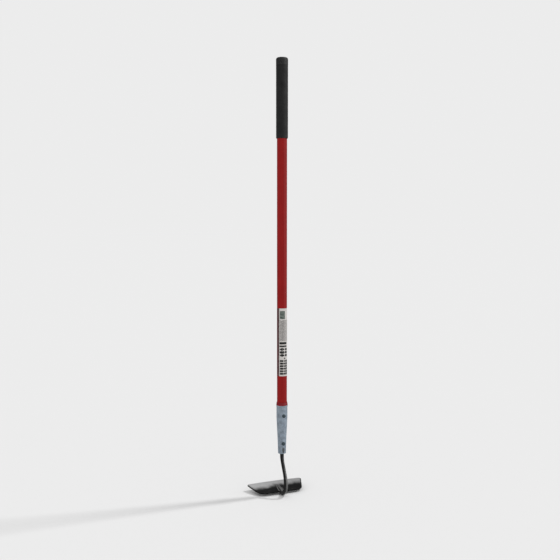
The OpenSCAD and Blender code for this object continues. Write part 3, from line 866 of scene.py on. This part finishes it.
@dataclass
class Grip(SubAssembly):
    """The foam sleeve and the moulded cap above it."""

    sides: int = 96
    wall_cuts: int = 90
    edge_round: float = 2.2 * MM
    softness: float = 0.22 * MM
    foam: Finish = FoamFinish("Vinyl foam", (0.0182, 0.0182, 0.0182), roughness=0.7, bump=0.6)
    rubber: Finish = TexturedFinish("Moulded rubber", (0.024, 0.024, 0.024), roughness=0.6, bump=0.5)

    def build_sleeve(self) -> Piece:
        """Turns the sleeve from a slice of its wall.

        Returns:
            The foam sleeve.
        """
        low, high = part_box("grip_sleeve")
        inner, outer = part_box("handle_tube")[1].x, high.x
        middle = (inner + outer) / 2
        clear_selection()
        bpy.ops.mesh.primitive_plane_add(size=1, location=(middle, 0, (low.z + high.z) / 2),
                                         rotation=(math.pi / 2, 0, 0))
        sleeve = take_new("foam_sleeve")
        sleeve.scale = (outer - inner, high.z - low.z, 1)
        apply_place(sleeve)

        def shape() -> None:
            """Rounds the lower edge, cuts the outside into short lengths and spins the slice."""
            select_points(sleeve, lambda co: co.x > middle and co.z < low.z + MM)
            bpy.ops.mesh.bevel(offset=self.edge_round, segments=5, affect="VERTICES", profile=0.5)
            select_points(sleeve, lambda co: co.x > outer - 0.01 * MM)
            bpy.ops.mesh.subdivide(number_cuts=self.wall_cuts)
            bpy.ops.mesh.select_all(action="SELECT")
            bpy.ops.mesh.delete(type="ONLY_FACE")
            bpy.ops.mesh.select_all(action="SELECT")
            bpy.ops.mesh.spin(steps=self.sides, angle=2 * math.pi, center=(0, 0, 0), axis=(0, 0, 1))
            tidy_faces()

        edit(sleeve, shape)
        self.soften(sleeve, outer)
        shade(sleeve)
        return sleeve

    def soften(self, sleeve: Piece, outer: float) -> None:
        """Gives the outer skin the slight unevenness of gripped foam.

        Args:
            sleeve: The turned sleeve.
            outer: The radius of its outside.
        """
        for point in sleeve.data.vertices:
            radius = math.hypot(point.co.x, point.co.y)
            if radius > outer - 0.5 * MM:
                sink = self.softness * (0.5 + 0.5 * noise.fractal(point.co / (14 * MM), 0.9, 2.1, 3))
                point.co.xy *= (radius - max(0.0, sink)) / radius

    def build(self) -> None:
        """Builds and dresses both pieces."""
        sleeve = self.build_sleeve()
        self.fit(sleeve, self.foam, "grip_foam", "grip_sleeve")
        self.dress_nodes(self.rubber, "grip_cap")


@dataclass
class Label(SubAssembly):
    """The paper label, wrapped round the tube above the ferrule."""

    width: float = 50.8 * MM
    start_turn: float = math.radians(201.5)
    across: int = 56
    along: int = 160
    ripple: float = 0.12 * MM
    clearance: float = 0.02 * MM

    def marks(self) -> tuple[PrintMark, ...]:
        """Returns the bold shapes of the lower half: bars, discs and diamonds."""
        bold = [PrintMark(17.5, 106.0, 12.5, 3.7), PrintMark(17.5, 96.2, 12.5, 2.6)]
        for row, shape in enumerate((1.3, 2.0, 1.3)):
            y = 86.5 - 9.6 * row
            bold.append(PrintMark(13.5, y, 8.5, 4.4, squareness=shape))
            bold.append(PrintMark(27.5, y, 4.6, 3.7))
        bold.append(PrintMark(22.0, 57.5, 2.5, 2.5, squareness=2.0))
        for row in range(6):
            y = 49.0 - 8.2 * row
            bold.append(PrintMark(11.5, y, 5.4, 3.1))
            bold.append(PrintMark(20.5, y, 3.2, 3.2, squareness=1.3 + 0.7 * (row % 2)))
            bold.append(PrintMark(28.8, y, 4.6, 3.5))
        return tuple(bold)

    def build(self) -> None:
        """Wraps a fine grid round the tube and gives it the paper's thickness."""
        low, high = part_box("label")
        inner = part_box("handle_tube")[1].x
        outer = max(high.x, -low.x, -low.y)
        clear_selection()
        bpy.ops.mesh.primitive_grid_add(x_subdivisions=self.across, y_subdivisions=self.along, size=1)
        label = take_new("paper_label")
        for point in label.data.vertices:
            share, rise = point.co.x + 0.5, point.co.y + 0.5
            turn = self.start_turn + share * self.width / inner
            crease = self.ripple * max(0.0, noise.noise(Vector((share * 9, rise * 30, 4.0))))
            radius = inner + self.clearance + crease
            point.co = (radius * math.cos(turn), radius * math.sin(turn), low.z + rise * (high.z - low.z))
        apply_modifier(label, "SOLIDIFY", thickness=outer - inner - 2 * self.clearance, offset=1.0)
        edit(label, face_outwards)
        shade(label)
        paper = LabelFinish("Printed paper", (0.66, 0.63, 0.60), roughness=0.62, bump=0.3,
                            width=self.width / MM, height=(high.z - low.z) / MM, marks=self.marks())
        self.fit(label, paper, "label_paper", "label")


@dataclass
class Ferrule(SubAssembly):
    """The tapered zinc ferrule, its collar and the two rivets."""

    zinc: Finish = ZincFinish(
        "Dull zinc plate", (0.33, 0.397, 0.47), roughness=0.46, metallic=0.35, bump=0.45)
    ring: Finish = TexturedFinish(
        "Dark red moulding", (0.245, 0.0125, 0.018), roughness=0.45, bump=0.3,
        texture=(110.0, 1300.0, 2.0), tone=0.25, rubbing=(0.5, 150.0, 700.0), rubbed=(0.3, 0.08, 0.08),
        gloss_swing=(-0.08, 0.08), specular=0.2, depth=0.08 * MM)
    rivet: Finish = TexturedFinish(
        "Dull rivet steel", (0.055, 0.082, 0.097), roughness=0.5, metallic=0.35, bump=0.5,
        texture=(380.0, 1600.0, 2.4), tone=0.45, rubbing=(0.0, 120.0, 800.0), gloss_swing=(0.1, -0.1),
        depth=0.3 * MM)

    def dress(self) -> None:
        """Dresses the four frame nodes."""
        self.dress_nodes(self.zinc, "ferrule")
        self.dress_nodes(self.ring, "collar")
        self.dress_nodes(self.rivet, "upper_rivet", "lower_rivet")


@dataclass
class GooseNeck(SubAssembly):
    """The forged bar with its heel and the tongue that is let into the blade."""

    cell: float = 0.75 * MM
    hammer_depth: float = 0.35 * MM
    # The neck's lacquer lightens its +x side as a painted highlight.
    lacquer: Finish = LacquerFinish(
        "Black lacquer", (0.006, 0.006, 0.006), roughness=0.34, bump=0.5, wear=Wear.FRESH,
        dust_height=0.045, dust_amount=0.25, rubbed_side=0.9)

    def build(self) -> None:
        """Forges the neck and dresses it."""
        neck = merged_copy("neck", "forged_neck")
        roughen(neck, self.cell, 4, ("Hammer marks", 9 * MM), self.hammer_depth, middle=0.6, angle=60.0)
        self.fit(neck, self.lacquer, "neck_lacquer", "neck")


@dataclass
class Blade(SubAssembly):
    """The dished and flared plate, and the weld that holds the tongue in it."""

    back_half: float = 72.0 * MM
    edge_half: float = 97.5 * MM
    back_round: float = 29.0 * MM
    edge_round: float = 7.5 * MM
    thickness: float = 3.0 * MM
    edge_thickness: float = 0.7 * MM
    bevel_run: float = 11.0 * MM
    slope: float = math.radians(9.8)
    back_height: float = 11.4 * MM
    scoop_radius: float = 420.0 * MM
    crown_radius: float = 3000.0 * MM
    back_steps: int = 18
    edge_steps: int = 10
    columns: int = 110
    row_step: float = 1.6 * MM
    nick_depth: float = 0.45 * MM
    nick_reach: float = 3.0 * MM
    nick_width: float = 5.0 * MM
    weld_cell: float = 0.4 * MM
    spatter_depth: float = 0.6 * MM
    plate: Finish = BladeFinish(
        "Lacquered blade steel", (0.0095, 0.0095, 0.0098), roughness=0.42, metallic=0.35, bump=0.4)
    # The weld's pale base colour is a painted highlight that draws a thin light line along its rim; the
    # scuffs on it are wear.
    weld: Finish = LacquerFinish(
        "Rubbed weld", (0.17, 0.17, 0.168), roughness=0.45, bump=0.6, wear=Wear.SCOURED, dust_amount=0.3)

    def __post_init__(self) -> None:
        """Works out the plate's plan and surface from the frame's own corners."""
        low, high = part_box("blade")
        self.back_y, self.front_y = low.y, high.y
        self.side_turn = math.atan2(self.front_y - self.back_y, self.edge_half - self.back_half)
        half = (self.front_y - self.back_y) / math.cos(self.slope) / 2
        rise = math.sqrt(self.scoop_radius ** 2 - half ** 2)
        self.scoop_y = self.back_y + half * math.cos(self.slope) - rise * math.sin(self.slope)
        self.scoop_z = self.back_height + half * math.sin(self.slope) + rise * math.cos(self.slope)

    def corner(self, half: float, y: float, radius: float, inside: float, facing: float) -> Vector:
        """Returns the centre of the arc that rounds a corner; facing points from it to the corner."""
        reach = radius / math.sin(inside / 2)
        return Vector((half - reach * math.cos(facing), y - reach * math.sin(facing)))

    def rows(self) -> list[tuple[float, float]]:
        """Returns each row's y and half width, from back to front."""
        out = self.side_turn - math.pi / 2
        back = self.corner(self.back_half, self.back_y, self.back_round, math.pi - self.side_turn,
                           (out - math.pi / 2) / 2)
        edge = self.corner(self.edge_half, self.front_y, self.edge_round, self.side_turn,
                           (math.pi / 2 + out) / 2)
        found: list[tuple[float, float]] = []
        arcs = ((back, self.back_round, -math.pi / 2, out, self.back_steps),
                (edge, self.edge_round, out, math.pi / 2, self.edge_steps))
        for centre, radius, start, end, steps in arcs:
            turns = [start + (end - start) * i / steps for i in range(steps + 1)]
            arc = [(centre.y + radius * math.sin(turn), centre.x + radius * math.cos(turn))
                   for turn in turns]
            if found:
                (last_y, last_x), (first_y, first_x) = found[-1], arc[0]
                count = max(2, round((first_y - last_y) / self.row_step))
                found += [(last_y + (first_y - last_y) * i / count, last_x + (first_x - last_x) * i / count)
                          for i in range(1, count)]
            found += arc
        return found

    def surface(self, x: float, y: float, depth: float) -> float:
        """Returns the height of the plate's face at a depth below its upper face."""
        scoop = self.scoop_z - math.sqrt((self.scoop_radius + depth) ** 2 - (y - self.scoop_y) ** 2)
        return scoop - (self.crown_radius - math.sqrt(self.crown_radius ** 2 - x * x))

    def build_plate(self) -> Piece:
        """Lays a grid over the plan, extrudes it and seats both faces on the dished surface.

        Returns:
            The plate.
        """
        rows = self.rows()
        clear_selection()
        bpy.ops.mesh.primitive_grid_add(x_subdivisions=self.columns, y_subdivisions=len(rows) - 1, size=1)
        plate = take_new("hoe_blade")
        edit(plate, lambda: bpy.ops.mesh.extrude_region_move(
            TRANSFORM_OT_translate={"value": (0, 0, 1)}))
        for point in plate.data.vertices:
            y, half = rows[round((point.co.y + 0.5) * (len(rows) - 1))]
            x = 2 * point.co.x * half
            near = max(0.0, 1 - (self.front_y - y) / self.nick_reach)
            y -= self.nick_depth * near * max(0.0, noise.noise(Vector((x / self.nick_width, 0.0, 2.0))))
            if point.co.z > 0.5:
                ground = max(0.0, 1 - (self.front_y - y) / self.bevel_run)
                height = self.surface(x, y, 0.0) - ground * (self.thickness - self.edge_thickness)
            else:
                height = self.surface(x, y, self.thickness)
            point.co = (x, y, height)
        edit(plate, tidy_faces)
        apply_modifier(plate, "BEVEL", width=0.25 * MM, segments=2, limit_method="ANGLE",
                       angle_limit=math.radians(50))
        return plate

    def build(self) -> None:
        """Builds and dresses the plate, its slot for the neck's tongue, and the uneven weld."""
        plate = self.build_plate()
        tongue = merged_copy("neck", "tongue_cutter")
        apply_modifier(plate, "BOOLEAN", object=tongue, operation="DIFFERENCE", solver="EXACT")
        bpy.data.objects.remove(tongue)
        shade(plate)
        self.fit(plate, self.plate, "blade_steel", "blade")
        beads = merged_copy("weld_beads", "weld_run")
        roughen(beads, self.weld_cell, 2, ("Weld spatter", 2.2 * MM), self.spatter_depth,
                middle=0.45, angle=70.0)
        self.fit(beads, self.weld, "weld_metal", "weld_beads")


@dataclass
class Studio:
    """Pale floor, soft light and the camera."""

    effects: Effects
    backdrop: float = 0.84
    ambient: float = 0.755
    mirrored: float = 0.17
    sun_strength: float = 1.15
    sun_height: float = math.radians(54)
    sun_size: float = math.radians(5.5)
    sun_bearing: float = math.radians(-3.6)
    softbox_power: float = 34.0
    softbox_size: tuple[float, float] = (1.0, 2.4)
    softbox_place: Vector3 = (2.1, -1.7, 1.1)
    turn: float = math.radians(-21.5)
    distance: float = 2.4527
    eye_height: float = 0.914
    aim_height: float = 0.6985
    aim_left: float = 6.3 * MM
    lens: float = 50.0
    sensor: float = 36.0
    floor_size: float = 60.0
    floor_gap: float = 0.05 * MM

    def build(self) -> None:
        """Sets up everything round the tool."""
        settings = bpy.context.scene.view_settings
        settings.view_transform, settings.look = "Standard", "None"
        self.lay_floor()
        self.fill_world()
        self.hang_lights()
        self.set_camera()

    def lay_floor(self) -> None:
        """Lays the floor at the height that the heel stands on."""
        clear_selection()
        bpy.ops.mesh.primitive_grid_add(x_subdivisions=8, y_subdivisions=8, size=self.floor_size,
                                        location=(0, 0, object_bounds()[0].z - self.floor_gap))
        floor = take_new("studio_floor")
        apply_place(floor)
        matt = FloorFinish("Pale floor", (0.80, 0.80, 0.80), roughness=1.0)
        floor.data.materials.append(matt.material(self.effects))
        floor.visible_glossy = False
        floor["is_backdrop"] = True

    def fill_world(self) -> None:
        """Makes an even backdrop that lights surfaces softly and shows dimly in gloss."""
        world = bpy.data.worlds.new("Studio")
        bpy.context.scene.world = world
        world.use_nodes = True
        world.node_tree.nodes.clear()
        bench = Bench(world.node_tree)
        path = bench.place("LightPath")
        level = bench.blend(path.outputs["Is Glossy Ray"], (self.ambient,) * 3, (self.mirrored,) * 3)
        level = bench.blend(path.outputs["Is Camera Ray"], level, (self.backdrop,) * 3)
        background = bench.place("Background", {"Color": level, "Strength": 1.0})
        bench.place("OutputWorld", {"Surface": background.outputs[0]})

    def hang_lights(self) -> None:
        """Hangs the soft key light at the right, and a softbox that only shows in gloss."""
        sun = bpy.data.lights.new("key", "SUN")
        sun.energy, sun.angle = self.sun_strength, self.sun_size
        level = math.cos(self.sun_height)
        towards = Vector((math.cos(self.sun_bearing) * level, math.sin(self.sun_bearing) * level,
                          math.sin(self.sun_height)))
        self.hang(sun, towards, -towards)
        panel = bpy.data.lights.new("softbox", "AREA")
        panel.energy, panel.shape = self.softbox_power, "RECTANGLE"
        panel.size, panel.size_y = self.softbox_size
        place = Vector(self.softbox_place)
        softbox = self.hang(panel, place, Vector((0, 0, self.aim_height)) - place)
        softbox.visible_diffuse = False

    @staticmethod
    def hang(lamp: bpy.types.Light, place: Vector, facing: Vector) -> Piece:
        """Hangs a light and turns it.

        Args:
            lamp: The light.
            place: Where it hangs, which makes no difference to a sun.
            facing: The direction that it shines in.

        Returns:
            The light's object.
        """
        hung = bpy.data.objects.new(lamp.name, lamp)
        hung.location = place
        hung.rotation_mode = "QUATERNION"
        hung.rotation_quaternion = facing.to_track_quat("-Z", "Y")
        bpy.context.scene.collection.objects.link(hung)
        return hung

    def set_camera(self) -> None:
        """Stands the camera level with the tool's upper half, a little to its left side."""
        data = bpy.data.cameras.new("camera")
        data.lens, data.sensor_width = self.lens, self.sensor
        data.clip_start, data.clip_end = 0.01, 100.0
        camera = bpy.data.objects.new("camera", data)
        ahead = Vector((-math.sin(self.turn), math.cos(self.turn), 0))
        right = Vector((math.cos(self.turn), math.sin(self.turn), 0))
        camera.location = Vector((0, 0, self.eye_height)) - ahead * self.distance
        target = Vector((0, 0, self.aim_height)) - right * self.aim_left
        camera.rotation_mode = "QUATERNION"
        camera.rotation_quaternion = (target - camera.location).to_track_quat("-Z", "Y")
        bpy.context.scene.collection.objects.link(camera)
        bpy.context.scene.camera = camera


def main() -> None:
    """Builds the tool's sub-assemblies in order, then the studio round them."""
    logging.basicConfig(level=logging.INFO, format="%(name)s: %(message)s")
    effects = Effects()
    Handle(effects).dress()
    Grip(effects).build()
    Label(effects).build()
    Ferrule(effects).dress()
    GooseNeck(effects).build()
    Blade(effects).build()
    Studio(effects).build()


if __name__ == "__main__":
    main()
